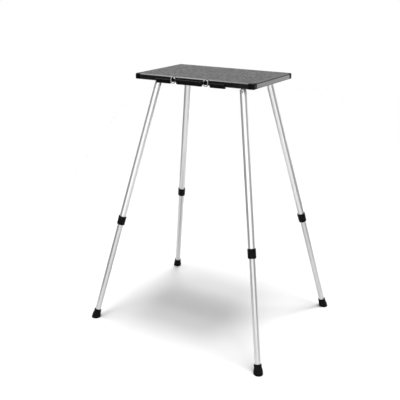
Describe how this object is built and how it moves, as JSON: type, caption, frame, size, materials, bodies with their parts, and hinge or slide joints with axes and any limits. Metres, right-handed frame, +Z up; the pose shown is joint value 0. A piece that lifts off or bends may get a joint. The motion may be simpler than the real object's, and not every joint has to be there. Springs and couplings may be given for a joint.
{
  "type": "portable projector stand",
  "caption": "Folding stand with a flat rectangular top on splayed telescoping legs with clamp collars, rubber feet and a swinging carrying handle.",
  "frame": {"origin": "on the floor, below the centre of the top", "axes": "+X right along the front edge, -Y the front with the carrying handle, +Z up"},
  "size_m": [0.8282, 0.712, 1.03],
  "materials": {
    "pebbled_board": "board faced with dark grey pebbled laminate",
    "edge_rail": "black semi-gloss extrusion",
    "corner_cap": "black moulded, semi-gloss",
    "leg_tube": "satin drawn tube",
    "black_plastic": "black moulded, satin",
    "steel_pin": "plated rivet",
    "rubber_foot": "black moulded rubber, matt",
    "black_steel": "black enamel",
    "grip": "black moulded, satin",
    "bright_ring": "bright plated wire",
    "bumper": "black moulded, satin"
  },
  "bodies": {
    "top": {"top_panel": "pebbled_board", "rail_front": "edge_rail", "rail_back": "edge_rail", "rail_left": "edge_rail", "rail_right": "edge_rail", "corner_front_left": "corner_cap", "corner_front_right": "corner_cap", "corner_back_left": "corner_cap", "corner_back_right": "corner_cap", "bracket_front_left": "black_steel", "bracket_front_right": "black_steel", "bracket_back_left": "black_steel", "bracket_back_right": "black_steel", "handle_eye_left": "black_steel", "handle_eye_right": "black_steel", "bumper_left": "bumper", "bumper_right": "bumper"},
    "leg_front_left": {"upper_tube_front_left": "leg_tube", "hinge_plug_front_left": "black_plastic", "hinge_pin_front_left": "steel_pin", "collar_front_left": "black_plastic"},
    "extension_front_left": {"lower_tube_front_left": "leg_tube", "foot_front_left": "rubber_foot"},
    "leg_front_right": {"upper_tube_front_right": "leg_tube", "hinge_plug_front_right": "black_plastic", "hinge_pin_front_right": "steel_pin", "collar_front_right": "black_plastic"},
    "extension_front_right": {"lower_tube_front_right": "leg_tube", "foot_front_right": "rubber_foot"},
    "leg_back_left": {"upper_tube_back_left": "leg_tube", "hinge_plug_back_left": "black_plastic", "hinge_pin_back_left": "steel_pin", "collar_back_left": "black_plastic"},
    "extension_back_left": {"lower_tube_back_left": "leg_tube", "foot_back_left": "rubber_foot"},
    "leg_back_right": {"upper_tube_back_right": "leg_tube", "hinge_plug_back_right": "black_plastic", "hinge_pin_back_right": "steel_pin", "collar_back_right": "black_plastic"},
    "extension_back_right": {"lower_tube_back_right": "leg_tube", "foot_back_right": "rubber_foot"},
    "handle": {"handle_grip": "grip", "handle_ring_left": "bright_ring", "handle_ring_right": "bright_ring"}
  },
  "joints": [
    {"name": "front_left_fold", "type": "hinge", "parent": "top", "child": "leg_front_left", "pos_m": [-0.1975, -0.0925, 0.9895], "axis": [0, -0.9781, 0.2079], "range_deg": [0, 101.1]},
    {"name": "front_left_slide", "type": "slide", "parent": "leg_front_left", "child": "extension_front_left", "axis": [0.1925, 0.204, 0.9598], "range_m": [0, 0.38]},
    {"name": "front_right_fold", "type": "hinge", "parent": "top", "child": "leg_front_right", "pos_m": [0.1975, -0.1275, 0.9895], "axis": [0, 0.9781, -0.2079], "range_deg": [0, 101.1]},
    {"name": "front_right_slide", "type": "slide", "parent": "leg_front_right", "child": "extension_front_right", "axis": [-0.1925, 0.204, 0.9598], "range_m": [0, 0.38]},
    {"name": "back_left_fold", "type": "hinge", "parent": "top", "child": "leg_back_left", "pos_m": [-0.1975, 0.1275, 0.9895], "axis": [0, -0.9781, -0.2079], "range_deg": [0, 101.1]},
    {"name": "back_left_slide", "type": "slide", "parent": "leg_back_left", "child": "extension_back_left", "axis": [0.1925, -0.204, 0.9598], "range_m": [0, 0.38]},
    {"name": "back_right_fold", "type": "hinge", "parent": "top", "child": "leg_back_right", "pos_m": [0.1975, 0.0925, 0.9895], "axis": [0, 0.9781, 0.2079], "range_deg": [0, 101.1]},
    {"name": "back_right_slide", "type": "slide", "parent": "leg_back_right", "child": "extension_back_right", "axis": [-0.1925, -0.204, 0.9598], "range_m": [0, 0.38]},
    {"name": "handle_swing", "type": "hinge", "parent": "top", "child": "handle", "pos_m": [-0.0038, -0.1745, 1.02662], "axis": [-1, 0, 0], "range_deg": [0, 95]}
  ]
}
